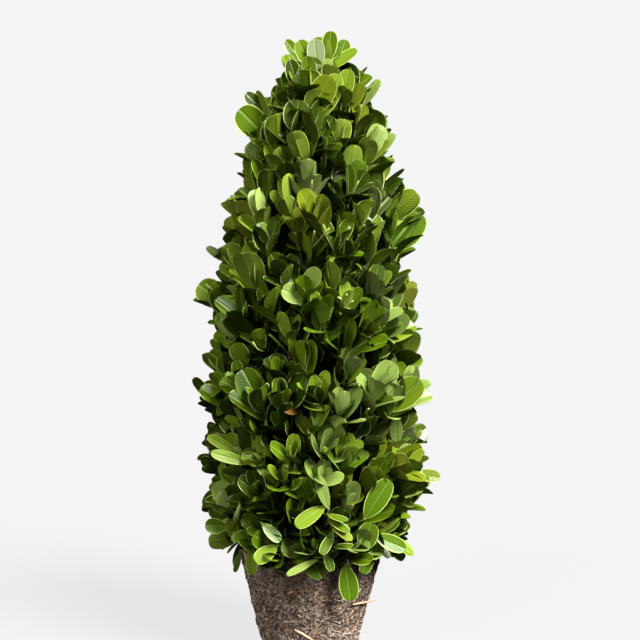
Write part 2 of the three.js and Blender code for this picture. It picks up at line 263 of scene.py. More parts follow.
# Leaf colours: upper face, margin and underside. Then the share of sprigs that take it, the factor on that
# share for every layer further in, and how much the upper face shines. That factor deals the dark tints more
# often and the light ones less often further in, as painted shade inside the crown. A tint with no share is
# for placed leaves alone.
# The edge colours are the leaf's pale margin, brightened far past it as painted rim light, most on the dark
# tints.
TINT_KEYS = ["top", "edge", "under", "share", "inner", "gloss"]
TINT_ROWS = [
    ("deep", (0.018, 0.035, 0.0002), (0.400, 0.490, 0.160), (0.043, 0.074, 0.003), 28, 3.0, 0.36),
    ("mid", (0.050, 0.091, 0.0005), (0.390, 0.490, 0.145), (0.092, 0.140, 0.006), 27, 1.0, 0.34),
    ("fresh", (0.095, 0.150, 0.006), (0.290, 0.356, 0.076), (0.136, 0.195, 0.018), 19, 0.35, 0.34),
    ("vivid", (0.053, 0.102, 0.0030), (0.300, 0.400, 0.090), (0.099, 0.170, 0.008), 9, 0.6, 0.34),
    ("olive", (0.094, 0.126, 0.004), (0.248, 0.264, 0.056), (0.124, 0.152, 0.012), 8, 0.6, 0.34),
    # grey: a greyed green whose bluish cast is partly painted sheen.
    ("grey", (0.045, 0.072, 0.007), (0.330, 0.390, 0.150), (0.108, 0.150, 0.040), 5, 0.8, 0.56),
    ("lime", (0.133, 0.196, 0.036), (0.280, 0.328, 0.090), (0.202, 0.270, 0.070), 8, 0.15, 0.45),
    ("yellow", (0.225, 0.240, 0.032), (0.304, 0.312, 0.078), (0.280, 0.300, 0.060), 1, 0.1, 0.3),
    ("russet", (0.095, 0.046, 0.005), (0.152, 0.096, 0.020), (0.130, 0.070, 0.014), 0, 0.0, 0.2),
    # painted_shade is near black and goes mostly to the inner layers: painted shade in the gaps between
    # sprigs.
    ("painted_shade", (0.007, 0.014, 0.0001), (0.130, 0.175, 0.035), (0.018, 0.032, 0.001), 0.5, 12.0, 0.15),
    # silver: a pale whitish green that partly paints the sheen of leaves turned to the light.
    ("silver", (0.165, 0.215, 0.100), (0.330, 0.400, 0.190), (0.220, 0.280, 0.110), 0, 0.0, 0.50),
]
TINTS = {row[0]: dict(zip(TINT_KEYS, row[1:])) for row in TINT_ROWS}
TINT_NAMES = list(TINTS)

# The tint of a sprig's young leaves, by the sprig's own, and how often its first and its second pair are
# young.
FRESHER = {"deep": "mid", "mid": "fresh", "fresh": "lime", "grey": "fresh", "vivid": "fresh"}
YOUNG = [0.55, 0.25]

# Boughs: how many, how far behind the outline their ends and bends lie, radius at the end, and what they
# gain towards the stem, at the top and more at the skirt. They wander by value noise of this size, as far
# as this.
BOUGHS = {"count": 56, "end": 30, "bend": 55, "radius": 0.9, "gain": 1.2, "lower_gain": 1.3}
WANDER = {"size": 9, "by": 0.9, "seeds": (31, 32, 33)}

# Relief of the root ball's side: size, depth and seed of each value noise. The felt lies outside the
# source's skin.
BALL_RELIEF = [(15, 0.9, 41), (6, 0.6, 42), (2.6, 0.45, 43), (1.2, 0.3, 44)]
FELT = 1.0

# Forms of fibres: their radii from end to end, and how much their heading drifts, in radians.
FIBRE_FORMS = {
    "crumb": {"radii": [0.6, 1, 0.9, 0.5], "lively": 0.35},
    "root": {"radii": [0.6, 1, 1, 0.95, 0.9, 0.8, 0.6, 0.35], "lively": 0.25},
}

# Fibres on the root ball: name, colour, how many, length, radius and form.
FIBRES = [
    ("crumbs_dark", (0.052, 0.035, 0.026), 1500, 4.2, 0.36, "crumb"),
    ("crumbs_brown", (0.180, 0.126, 0.094), 1700, 4.0, 0.34, "crumb"),
    ("crumbs_tan", (0.335, 0.256, 0.197), 1250, 3.6, 0.28, "crumb"),
    ("crumbs_pale", (0.540, 0.455, 0.375), 380, 3.2, 0.22, "crumb"),
    ("crumbs_rust", (0.330, 0.160, 0.105), 160, 3.4, 0.30, "crumb"),
    ("roots_brown", (0.200, 0.142, 0.106), 150, 17, 0.20, "root"),
    ("roots_pale", (0.520, 0.430, 0.340), 60, 17, 0.17, "root"),
    ("roots_orange", (0.380, 0.190, 0.090), 12, 13, 0.24, "root"),
]

# Chips of wood on the root ball: four points of each, the radii from end to end, and the factor on them for
# each.
CHIPS = [
    [(27, -28, 36.8), (33, -21.4, 35.9), (38.5, -13.4, 34.9), (41.4, -8, 34.1)],
    [(-9.5, -33.6, 22), (-5, -34, 19.6), (-1, -33.6, 17), (3.5, -33, 14.4)],
    [(-13.5, -37.8, 46), (-12, -38.6, 47.6), (-9.6, -39.2, 48.6), (-7.6, -39.6, 50)],
]
CHIP_FORM = [0.5, 0.9, 0.8, 0.4]
CHIP_SIZES = [0.8, 1.1, 0.7]

# The camera: what it looks at, how far off it stands and how far it sees, in metres, and its angle above the
# level. The lens and sensor are in millimetres.
CAMERA = {"target": (0.0063, 0.0, 0.2135), "distance": 1.3, "reach": 200, "above": 8}
LENS = {"length": 116, "sensor": 36}

# Soft suns: name, strength, breadth and the direction that the light comes from.
SUNS = [
    ("key", 16.0, 28, (0.62, -0.56, 0.88)),
    ("fill", 3.0, 36, (-0.60, -0.85, 0.75)),
    ("back", 3.4, 40, (-0.25, 0.90, 0.50)),
]
SUN_COLOUR = (1.0, 0.985, 0.96)

# The backdrop's colour, the sky's light, what the camera sees on top of it, and what gloss sees less of it.
# The floor's sizes are in metres.
PALE = (0.985, 0.99, 1.0, 1.0)
SKY = {"light": 0.088, "seen": 0.833, "mirrored": 0.065}
FLOOR = {"radius": 60, "below": 0.0004, "sides": 96, "grey": 0.032, "glow": 0.765}

draw = np.random.default_rng(SEED)


# Shader maths.
class Value:
    """A value in a material. Python's operators add Math nodes to it, and node() adds any other node."""

    def __init__(self, tree, socket=None):
        self.tree = tree
        self.socket = socket

    def node(self, kind, settings=None, inputs=None, output=0):
        """Any node, by its type, settings and sockets' values or links. Gives one output of it."""
        made = self.tree.nodes.new(kind)
        for key, value in (settings or {}).items():
            setattr(made, key, value)
        for key, value in (inputs or {}).items():
            if isinstance(value, Value):
                self.tree.links.new(value.socket, made.inputs[key])
            else:
                made.inputs[key].default_value = value
        return Value(self.tree, made.outputs[output] if len(made.outputs) else None)

    def maths(self, operation, *terms):
        """A Math node on these terms."""
        return self.node("ShaderNodeMath", {"operation": operation}, dict(enumerate(terms)))

    def __add__(self, other):
        return self.maths("ADD", self, other)

    def __sub__(self, other):
        return self.maths("SUBTRACT", self, other)

    def __mul__(self, other):
        return self.maths("MULTIPLY", self, other)

    def __truediv__(self, other):
        return self.maths("DIVIDE", self, other)

    def __radd__(self, other):
        return self.maths("ADD", other, self)

    def __rsub__(self, other):
        return self.maths("SUBTRACT", other, self)

    def __rmul__(self, other):
        return self.maths("MULTIPLY", other, self)

    def __rtruediv__(self, other):
        return self.maths("DIVIDE", other, self)

    def __abs__(self):
        return self.maths("ABSOLUTE", self)

    def part(self, axis):
        """The X, Y or Z of this vector."""
        return self.node("ShaderNodeSeparateXYZ", {}, {0: self}, axis)

    def step(self, low, high):
        """0 below low, 1 above high, and a smooth rise between them."""
        settings = {"interpolation_type": "SMOOTHSTEP"}
        places = {"Value": self, "From Min": low, "From Max": high, "To Min": 0.0, "To Max": 1.0}
        return self.node("ShaderNodeMapRange", settings, places)

    def noise(self, scale, detail=2.0, roughness=0.5):
        """Noise at this place."""
        inputs = {"Vector": self, "Scale": scale, "Detail": detail, "Roughness": roughness}
        return self.node("ShaderNodeTexNoise", {}, inputs)

    def mixed(self, low, high):
        """Low where this value is 0 and high where it is 1. Sockets 6 and 7 are the node's colours."""
        colours = [colour if isinstance(colour, Value) else (*colour, 1.0) for colour in (low, high)]
        return self.node("ShaderNodeMix", {"data_type": "RGBA"}, {0: self, 6: colours[0], 7: colours[1]}, 2)


def new_material(name):
    """An empty material and the value that its nodes are made from."""
    material = bpy.data.materials.new(name)
    material.use_nodes = True
    material.node_tree.nodes.clear()
    return material, Value(material.node_tree)


def finish_material(material, start, surface, height, strength, distance):
    """Joins a Principled shader to the output, with a bump of this height times a distance in metres."""
    bump = start.node("ShaderNodeBump", {}, {"Strength": strength, "Distance": distance, "Height": height})
    shader = start.node("ShaderNodeBsdfPrincipled", {}, {**surface, "Normal": bump})
    start.node("ShaderNodeOutputMaterial", {}, {"Surface": shader})
    return material


def own_map(start):
    """The place on the piece's own map."""
    return start.node("ShaderNodeUVMap", {"uv_map": "OFBake"})


def leaf_material(name, side, colour, gloss):
    """A leaf's face: one plain colour, with side veins, pores and gloss that follow the leaf's own map.

    A vein rises where 15 times the share along the leaf, less 3.2 times the share out from its midrib, is
    whole, and fades towards the margin. On the upper face the veins and the midrib are sunk, on the
    underside they are raised.
    """
    material, start = new_material(name)
    place = own_map(start)
    across = start.maths("FRACT", place.part("X") * LEAF_CELLS)
    along = start.maths("FRACT", place.part("Y") * LEAF_CELLS)
    out = abs(across - (UNDER_MIDDLE if side == "underside" else UPPER_MIDDLE)) / MAP_HALF
    veins = start.maths("PINGPONG", along * 15 - out * 3.2, 0.5) * 2
    vein = (1 - veins.step(0.0, 0.42)) * (1 - out.step(0.55, 0.95))
    groove = 1 - out.step(0.02, 0.16)
    pores = place.noise(240.0)
    blotches = place.noise(26.0)
    if side == "underside":
        height = groove + vein * 0.55 + pores * 0.35
        rough = 0.56 + blotches * 0.14
    else:
        height = pores * 0.22 - groove * 0.8 - vein * 0.15 + blotches * 0.5
        rough = 0.25 + blotches * 0.14 + vein * 0.04
    if side == "margin":
        rough = 0.44 + blotches * 0.12
    surface = {"Base Color": (*colour, 1.0), "Roughness": rough, "Specular IOR Level": gloss}
    return finish_material(material, start, surface, height, 0.8, 0.00032)


def leaf_materials(name):
    """A tint's materials, one for each side. The margin's colour is partly the leaf's pale edge and partly
    painted rim light. The midrib is a quarter of the way to the margin, and so takes a little of that painted
    rim light.
    """
    tint = TINTS[name]
    midrib = [0.75 * face + 0.25 * margin for face, margin in zip(tint["top"], tint["edge"])]
    looks = {
        "upper": (tint["top"], tint["gloss"]),
        "margin": (tint["edge"], 0.2),
        "underside": (tint["under"], 0.12),
        "midrib": (midrib, 0.2),
    }
    return [leaf_material("leaf_" + name + "_" + side, side, *looks[side]) for side in SIDES]


def bark_material(name, dark, light, scale):
    """Bark: two browns in streaks along the wood, ridges from the same streaks, and pale corky specks."""
    material, start = new_material(name)
    place = own_map(start)
    streaks = start.node("ShaderNodeMapping", {}, {"Vector": place, "Scale": (9.0, 2.0, 1.0)})
    grain = streaks.noise(scale, 5.0, 0.62)
    shade = grain.step(0.36, 0.66)
    corky = place.noise(scale * 9).step(0.60, 0.70)
    colour = (corky * 0.45).mixed(shade.mixed(dark, light), (0.34, 0.27, 0.19))
    surface = {"Base Color": colour, "Roughness": 0.86 - shade * 0.16, "Specular IOR Level": 0.25}
    return finish_material(material, start, surface, grain + corky * 0.3, 0.8, 0.0012)


def shoot_material(name, colour):
    """Young shoot: one plain green, with fine ridges along it that follow its own map."""
    material, start = new_material(name)
    place = own_map(start)
    ridges = start.maths("PINGPONG", place.part("X") * 16, 0.5)
    grain = place.noise(60.0, 3.0)
    surface = {"Base Color": (*colour, 1.0), "Roughness": 0.52 + grain * 0.2, "Specular IOR Level": 0.35}
    return finish_material(material, start, surface, ridges + grain * 0.5, 0.5, 0.0004)


def fibre_material(name, colour):
    """Fibre: one plain brown, matt, with a rough skin that follows its own map."""
    material, start = new_material(name)
    grain = own_map(start).noise(90.0, 3.0)
    surface = {"Base Color": (*colour, 1.0), "Roughness": 0.72 + grain * 0.22, "Specular IOR Level": 0.22}
    return finish_material(material, start, surface, grain, 0.6, 0.0003)


def peat_material(name):
    """Peat and coir on Object coordinates: dark peat, pale felt, grey patches and crumbs, with lumps."""
    material, start = new_material(name)
    place = start.node("ShaderNodeTexCoord", {}, {}, "Object")
    patches = place.noise(45.0, 4.0, 0.6)
    felt = place.noise(420.0, 5.0, 0.7)
    crumbs = place.noise(1300.0)
    cells = place.node("ShaderNodeTexVoronoi", {"feature": "F1"}, {"Vector": place, "Scale": 330.0})
    pale = felt.step(0.42, 0.68)
    brown = pale.mixed((0.082, 0.058, 0.044), (0.270, 0.198, 0.148))
    greyed = (patches.step(0.46, 0.66) * 0.55).mixed(brown, (0.240, 0.195, 0.162))
    colour = (crumbs.step(0.62, 0.72) * 0.6).mixed(greyed, (0.440, 0.345, 0.260))
    lumps = 1 - cells.step(0.0, 0.75)
    height = felt * 0.9 + crumbs * 0.4 + lumps * 0.5
    surface = {"Base Color": colour, "Roughness": 0.95 - pale * 0.1, "Specular IOR Level": 0.15}
    return finish_material(material, start, surface, height, 0.9, 0.0016)


# Meshes.
def add_piece(name, points, faces, places, materials, replaced, sharp, tiles=None):
    """Makes one piece, which rides with the plant, of points in millimetres and the faces on them.

    places holds one place of the piece's own map for each corner, quads first. An edge sharper than the
    angle stays sharp. tiles gives each face's material.
    """
    quads, triangles = faces
    mesh = bpy.data.meshes.new(name)
    corners = np.concatenate([quads.ravel(), triangles.ravel()]).astype(np.int32)
    sizes = np.concatenate([np.full(len(quads), 4), np.full(len(triangles), 3)])
    starts = np.concatenate([[0], np.cumsum(sizes)[:-1]]).astype(np.int32)
    mesh.vertices.add(len(points))
    mesh.vertices.foreach_set("co", (points * MM).astype(np.float32).ravel())
    mesh.loops.add(len(corners))
    mesh.loops.foreach_set("vertex_index", corners)
    mesh.polygons.add(len(sizes))
    mesh.polygons.foreach_set("loop_start", starts)
    if tiles is not None:
        mesh.polygons.foreach_set("material_index", tiles.astype(np.int32))
    own = mesh.uv_layers.new(name="OFBake")
    own.data.foreach_set("uv", places.astype(np.float32).ravel())
    for material in materials:
        mesh.materials.append(material)
    mesh.update(calc_edges=True)
    mesh.validate()
    mesh.polygons.foreach_set("use_smooth", np.ones(len(sizes), bool))
    mesh.set_sharp_from_angle(angle=math.radians(sharp))
    piece = bpy.data.objects.new(name, mesh)
    bpy.context.scene.collection.objects.link(piece)
    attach(piece, BODY)
    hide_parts(replaced)


def unit(vectors):
    """Vectors of length one along the same directions."""
    return vectors / np.maximum(np.linalg.norm(vectors, axis=-1, keepdims=True), 1e-9)


def guide_for(directions):
    """A direction to cross with each of these: straight up, or X where one is nearly upright."""
    level = np.abs(directions[:, 2:3]) < 0.9
    return np.where(level, np.array([[0.0, 0.0, 1.0]]), np.array([[1.0, 0.0, 0.0]]))


def lattice_noise(points, size, seed):
    """Value noise from -1 to 1: random numbers at the corners of a cubic grid, blended between corners."""
    table = np.random.default_rng(seed).uniform(-1, 1, (32, 32, 32))
    place = points / size
    corner = np.floor(place).astype(int)
    share = place - corner
    share = share * share * (3 - 2 * share)
    total = np.zeros(points.shape[:-1])
    for dx in (0, 1):
        for dy in (0, 1):
            for dz in (0, 1):
                weight = np.abs(1 - dx - share[..., 0]) * np.abs(1 - dy - share[..., 1])
                weight = weight * np.abs(1 - dz - share[..., 2])
                at = (corner + (dx, dy, dz)) % 32
                total = total + weight * table[at[..., 0], at[..., 1], at[..., 2]]
    return total


def tube_faces(rows, sides):
    """One tube's faces: rings of corners joined by quads, closed by a fan on the point at each end."""
    ring = np.arange(sides)
    after = (ring + 1) % sides
    first = 1 + np.arange(rows)[:, None] * sides
    quads = np.stack([first[:-1] + ring, first[:-1] + after, first[1:] + after, first[1:] + ring], -1)
    last = 1 + rows * sides
    foot = np.stack([np.zeros(sides, int), 1 + after, 1 + ring], -1)
    tip = np.stack([np.full(sides, last), last - sides + ring, last - sides + after], -1)
    return quads.reshape(-1, 4), np.concatenate([foot, tip])


def tube_map(rows, sides, cells, count):
    """Each tube's map: once round from left to right, and root to tip upwards, in one cell of a square."""
    ring = np.arange(sides)
    left = MAP_EDGE + (1 - 2 * MAP_EDGE) * ring / sides
    right = MAP_EDGE + (1 - 2 * MAP_EDGE) * (ring + 1) / sides
    middle = (left + right) / 2
    level = 0.05 + 0.90 * np.arange(rows + 2) / (rows + 1)
    below = np.broadcast_to(level[1:rows, None], (rows - 1, sides))
    above = np.broadcast_to(level[2:rows + 1, None], (rows - 1, sides))
    across = np.broadcast_to(np.stack([left, right, right, left], -1), (rows - 1, sides, 4))
    along = np.stack([below, below, above, above], -1)
    quads = np.stack([across, along], -1).reshape(-1, 2)
    start, low, high, end = (np.full(sides, level[row]) for row in (0, 1, rows, -1))
    foot = np.stack([np.stack([middle, right, left], -1), np.stack([start, low, low], -1)], -1)
    tip = np.stack([np.stack([middle, left, right], -1), np.stack([end, high, high], -1)], -1)
    fans = np.concatenate([foot, tip]).reshape(-1, 2)
    return np.concatenate([in_cells(kind, np.arange(count) % cells**2, cells) for kind in (quads, fans)])


def in_cells(places, cell, cells):
    """A shape's map places, repeated for each copy of it in that copy's cell of a square of cells."""
    offset = np.stack([cell % cells, cell // cells], -1)[:, None, :]
    return ((places[None] + offset) / cells).reshape(-1, 2)


def repeated(faces, corners, count):
    """A shape's quads and triangles, repeated for each copy of it."""
    step = np.arange(count)[:, None, None] * corners
    return tuple((kind[None] + step).reshape(-1, kind.shape[1]) for kind in faces)


def tube_points(paths, radii, sides):
    """Round tubes along paths: at each point a ring square to the path, and a point that closes each end."""
    count, rows = radii.shape
    run = unit(np.gradient(paths, axis=1))
    side = unit(np.cross(run, guide_for(unit(paths[:, -1] - paths[:, 0]))[:, None, :]))
    rise = np.cross(run, side)
    angle = 2 * math.pi * np.arange(sides) / sides
    ring = side[:, :, None, :] * np.cos(angle)[:, None] + rise[:, :, None, :] * np.sin(angle)[:, None]
    skin = paths[:, :, None, :] + ring * radii[:, :, None, None]
    foot = paths[:, :1] - run[:, :1] * radii[:, :1, None] * 0.4
    tip = paths[:, -1:] + run[:, -1:] * radii[:, -1:, None] * 0.6
    return np.concatenate([foot, skin.reshape(count, rows * sides, 3), tip], 1).reshape(-1, 3)


def add_tubes(name, paths, radii, sides, cells, material, replaced):
    """Makes one piece of all these tubes."""
    count, rows = radii.shape
    faces = repeated(tube_faces(rows, sides), rows * sides + 2, count)
    places = tube_map(rows, sides, cells, count)
    add_piece(name, tube_points(paths, radii, sides), faces, places, [material], replaced, 80)


def curve(start, bend, end, rows):
    """Curves that leave start towards bend and reach end: parabolas, at even steps of their parameter."""
    share = np.linspace(0, 1, rows)[None, :, None]
    start, bend, end = start[:, None], bend[:, None], end[:, None]
    return start * (1 - share) ** 2 + bend * 2 * share * (1 - share) + end * share**2


# The crown's growth, by the source's rule.
def crown_radius(height, turn):
    """Radius of the clipped outline: a cone rounded at its foot, in shallow tiers, with its swells added.

    Above the waist it is the two-thirds power of one less the square of the share risen, and below it the
    root of one less the cube of the share dropped. Tiers are a cosine of the height, and swells are bell
    curves.
    """
    rise = np.clip((height - CROWN["waist"]) / (TOP - CROWN["waist"]), 0, 1)
    drop = np.clip((CROWN["waist"] - height) / CROWN["rounding"], 0, 1)
    radius = CROWN["radius"] * (1 - rise**2) ** (2 / 3) * np.sqrt(1 - drop**3)
    wave = np.cos(2 * math.pi * (height - TIERS["peak"]) / TIERS["apart"] + TIERS["tilt"] * np.sin(turn))
    radius = radius * (1 + TIERS["swell"] * wave)
    for peak, side, out in SWELLS:
        up = (height - peak) / SWELL_FADES["height"]
        off = np.angle(np.exp(1j * (turn - math.radians(side)))) / SWELL_FADES["side"]
        radius = radius + out * np.exp(-(up**2) - off**2)
    return radius


def growth_angle(height):
    """Angle of growth above the horizon: hanging at the skirt, level near the waist, upright at the tip."""
    share = np.clip((height - CROWN["skirt"]) / (TOP - CROWN["skirt"]), 0, 1)
    return np.radians(GROWTH["lowest"] + (GROWTH["steepest"] - GROWTH["lowest"]) * share ** GROWTH["rise"])


def outward(turn, angle):
    """Directions at a turn round the stem and an angle above the horizon."""
    level = np.cos(angle)
    return np.stack([level * np.cos(turn), level * np.sin(turn), np.sin(angle)], -1)


def along_growth(height, turn, depth):
    """Points at a depth behind the outline, back along the line of growth."""
    angle = growth_angle(height)
    radius = crown_radius(height, turn) - depth * np.cos(angle) - SIDE_ROOM * np.sin(np.abs(angle))
    radius = np.maximum(radius, 1.5)
    return np.stack([radius * np.cos(turn), radius * np.sin(turn), height - depth * np.sin(angle)], -1)


def leaning(points):
    """Points turned by the plant's lean about the middle of the root ball's top."""
    angle = math.radians(LEAN)
    rise = points[..., 2] - BALL["height"]
    across = points[..., 0] * math.cos(angle) + rise * math.sin(angle)
    up = BALL["height"] + rise * math.cos(angle) - points[..., 0] * math.sin(angle)
    return np.stack([across, points[..., 1], up], -1)


def spread_heights(count):
    """Heights at equal shares of the outline's area, with rather more near the tip and the skirt."""
    height = np.linspace(CROWN["skirt"] + 2, TOP - 1, 600)
    radius = crown_radius(height, np.zeros_like(height))
    middle = (TOP + CROWN["skirt"]) / 2
    weight = (radius + 4) * (1 + 0.9 * ((height - middle) / (TOP - middle)) ** 2)
    share = np.cumsum(weight) / weight.sum()
    return np.interp((np.arange(count) + 0.5) / count, share, height)


# Leaves.
def leaf_template():
    """Where a leaf's rows lie along it, the half width of each against the widest, and its columns.

    The half width is the sine of the row's angle, raised so that the base tapers, times a factor that grows
    to the tip.
    """
    angle = np.radians(LEAF_ROWS)
    along = (1 - np.cos(angle)) / 2
    width = np.sin(angle) ** (0.80 + 0.9 * (1 - along) ** 1.5) * (0.74 + 0.42 * along)
    return along, width / width.max(), np.array(LEAF_COLUMNS)


def leaf_shape():
    """One closed leaf: its quads and triangles, and for each kind the faces' materials and map places.

    Its corners are the foot, the upper face's rows, the underside's midrib and the tip. On the map a corner
    lies as far out from the middle of its face as it does on the leaf, and as far up.
    """
    along, width, across = leaf_template()
    rows, columns = len(along), len(across)
    upper = 1 + np.arange(rows)[:, None] * columns + np.arange(columns)
    lower = 1 + rows * columns + np.arange(rows)
    tip = lower[-1] + 1
    top = np.stack([upper[:-1, :-1], upper[:-1, 1:], upper[1:, 1:], upper[1:, :-1]], -1)
    left = np.stack([upper[:-1, 0], upper[1:, 0], lower[1:], lower[:-1]], -1)
    right = np.stack([lower[:-1], lower[1:], upper[1:, -1], upper[:-1, -1]], -1)
    foot_fan = np.stack([0 * upper[0, 1:], upper[0, 1:], upper[0, :-1]], -1)
    tip_fan = np.stack([upper[-1, :-1], upper[-1, 1:], 0 * upper[0, 1:] + tip], -1)
    under_ends = [
        (0, upper[0, 0], lower[0]),
        (0, lower[0], upper[0, -1]),
        (upper[-1, 0], tip, lower[-1]),
        (lower[-1], tip, upper[-1, -1]),
    ]
    below = np.stack([left, right], 1).reshape(-1, 4)
    quads = np.concatenate([top.transpose(1, 0, 2).reshape(-1, 4), below])
    triangles = np.concatenate([np.stack([foot_fan, tip_fan], 1).reshape(-1, 3), under_ends])
    strips = np.array([SIDES.index(side) for side in STRIPS])
    under = SIDES.index("underside")
    tiles = (
        np.concatenate([np.repeat(strips, rows - 1), np.full(len(below), under)]),
        np.concatenate([np.repeat(strips, 2), np.full(len(under_ends), under)]),
    )
    out = np.zeros(tip + 1)
    out[upper] = across * width[:, None]
    level = np.full(tip + 1, MAP_END)
    level[upper] = MAP_EDGE + (1 - 2 * MAP_EDGE) * along[:, None]
    level[lower] = MAP_EDGE + (1 - 2 * MAP_EDGE) * along
    level[tip] = 1 - MAP_END
    places = []
    for kind, sides in zip((quads, triangles), tiles):
        middle = np.where(sides == under, UNDER_MIDDLE, UPPER_MIDDLE)[:, None]
        places.append(np.stack([middle + MAP_HALF * out[kind], level[kind]], -1).reshape(-1, 2))
    return (quads, triangles), tiles, places


def leaf_points(leaves):
    """All leaves' corners: across the blade by width, along it by length, and up by fold, cup and arch.

    The height over the blade's plane is fold times the distance from the midrib, plus cup times its square,
    less arch times the length times the square of the share along it, plus twist times the distance to the
    right and the share along it past 0.3. The underside's midrib is a thickness lower.
    """
    along, width, across = leaf_template()
    size = leaves["length"][:, None, None]
    half = 0.5 * size * leaves["slimness"][:, None, None] * width[None, :, None]
    out = half * across[None, None, :]
    forward = size * along[None, :, None] * np.ones_like(out)
    bend = leaves["arch"][:, None, None] * size * along[None, :, None] ** 2
    twist = leaves["twist"][:, None, None] * (along[None, :, None] - 0.3) * out
    high = leaves["fold"][:, None, None] * np.abs(out) + leaves["cup"][:, None, None] * out**2 - bend + twist
    blade = np.stack([out, forward, high], -1).reshape(len(size), -1, 3)
    middle = size[:, :, 0] * along[None]
    thick = LEAF["thickness"] * np.sqrt(width)[None] * np.ones_like(middle)
    rib = np.stack([np.zeros_like(middle), middle, -bend[:, :, 0] - thick], -1)
    foot = np.zeros((len(size), 1, 3))
    drop = -leaves["arch"] * leaves["length"] - 0.05
    tip = np.stack([np.zeros(len(size)), leaves["length"], drop], -1)[:, None]
    axes = np.stack([leaves["across"], leaves["along"], leaves["up"]], 1)
    local = np.concatenate([foot, blade, rib, tip], 1)
    return leaves["base"][:, None] + np.einsum("nvi,nij->nvj", local, axes)


def squared(up, along):
    """Directions up, made square to the directions along."""
    return unit(up - along * np.sum(up * along, -1, keepdims=True))


def joined(parts):
    """Groups of leaves or shoots as one group."""
    return {key: np.concatenate([part[key] for part in parts]) for key in parts[0]}


def pair_leaves(ends, axes, rolls, tints, sizes):
    """The leaves of many sprigs: facing pairs on the shoot, each pair a quarter turn from the next.

    A leaf leaves the shoot at its pair's angle with its upper face turned to the shoot's tip, and bends to
    the light.
    """
    count = len(ends)
    first = unit(np.cross(axes, guide_for(axes)))
    second = np.cross(axes, first)
    level = ends * (1, 1, 0) / np.maximum(np.linalg.norm(ends[:, :2], axis=1), 1)[:, None]
    light = unit(level + (0, 0, LIGHT_RISE))
    made = []
    for number, pair in enumerate(PAIRS):
        for side in (0, 1):
            roll = rolls + number * math.pi / 2 + side * math.pi + draw.normal(0, LEAF_VARIES["roll"], count)
            out = first * np.cos(roll)[:, None] + second * np.sin(roll)[:, None]
            spread = np.radians(pair["spread"] + draw.normal(2, LEAF_VARIES["spread"], count))[:, None]
            along = axes * np.cos(spread) + out * np.sin(spread)
            along = unit(along + np.array([0, 0, UPWARD]) + draw.normal(0, LEAF_VARIES["along"], (count, 3)))
            up = axes * np.sin(spread) - out * np.cos(spread) + light * LIGHTWARD
            up = squared(up + draw.normal(0, LEAF_VARIES["up"], (count, 3)), along)
            size = pair["size"] * sizes * (1 + draw.normal(0, LEAF_VARIES["size"], count))
            stalk = 0.5 * (1.0 + draw.uniform(0, 0.8, count))
            made.append({
                "base": ends - axes * (pair["back"] * sizes)[:, None] + along * stalk[:, None],
                "along": along,
                "up": up,
                "across": np.cross(along, up),
                "length": LEAF["length"] * size,
                "slimness": LEAF["slimness"] + draw.normal(0, LEAF_VARIES["slimness"], count),
                "fold": LEAF["fold"] + draw.normal(0, LEAF_VARIES["fold"], count),
                "cup": LEAF["cup"] + draw.normal(0, LEAF_VARIES["cup"], count),
                "arch": LEAF["arch"] + draw.normal(0, LEAF_VARIES["arch"], count) - 0.05 * (number < 2),
                "twist": draw.normal(0, LEAF_VARIES["twist"], count),
                "tint": tints[:, number],
            })
    return joined(made)


def deal_tints(count, layer):
    """A tint for each sprig's pairs by its share in a layer, with the youngest often a tint fresher."""
    # Darker tints weigh more and lighter ones less in each layer further in: painted shade inside the crown.
    shares = np.array([tint["share"] * tint["inner"] ** layer for tint in TINTS.values()])
    main = draw.choice(len(TINTS), count, p=shares / shares.sum())
    step_up = np.array([TINT_NAMES.index(FRESHER.get(name, name)) for name in TINT_NAMES])
    tints = np.repeat(main[:, None], len(PAIRS), 1)
    for number, share in enumerate(YOUNG):
        tints[:, number] = np.where(draw.random(count) < share, step_up[main], main)
    return tints


def layer_sprigs(number, layer):
    """A layer's leaves and shoots: ends by height and golden turn, aimed along the line of growth."""
    count = layer["count"]
    heights = np.clip(spread_heights(count) + draw.normal(0, SPRIG_VARIES["height"], count), *SPRIG_LIMITS)
    turns = np.arange(count) * GOLDEN_TURN + number * 1.3 + draw.normal(0, SPRIG_VARIES["turn"], count)
    inset = layer["inset"] + draw.uniform(-0.6, 1.0, count) * layer["varies"]
    room = crown_radius(heights, turns) - inset > LEAST_RADIUS
    heights, turns, inset = heights[room], turns[room], inset[room]
    count = len(heights)
    ends = along_growth(heights, turns, SPRIG_DEPTH)
    level = np.stack([np.cos(turns), np.sin(turns), 0 * turns], -1)
    ends = ends - level * np.minimum(inset, np.linalg.norm(ends[:, :2], axis=1) - 1)[:, None]
    angles = growth_angle(heights) + draw.normal(-0.05, SPRIG_VARIES["angle"], count)
    axes = outward(turns + draw.normal(0, SPRIG_VARIES["aside"], count), angles)
    rolls = draw.uniform(0, math.pi, count)
    sizes = np.clip(1 + draw.normal(-0.05, SPRIG_VARIES["size"], count), 0.65, 1.25)
    tints = deal_tints(count, number)
    return pair_leaves(ends, axes, rolls, tints, sizes), {"end": ends, "axis": axes}


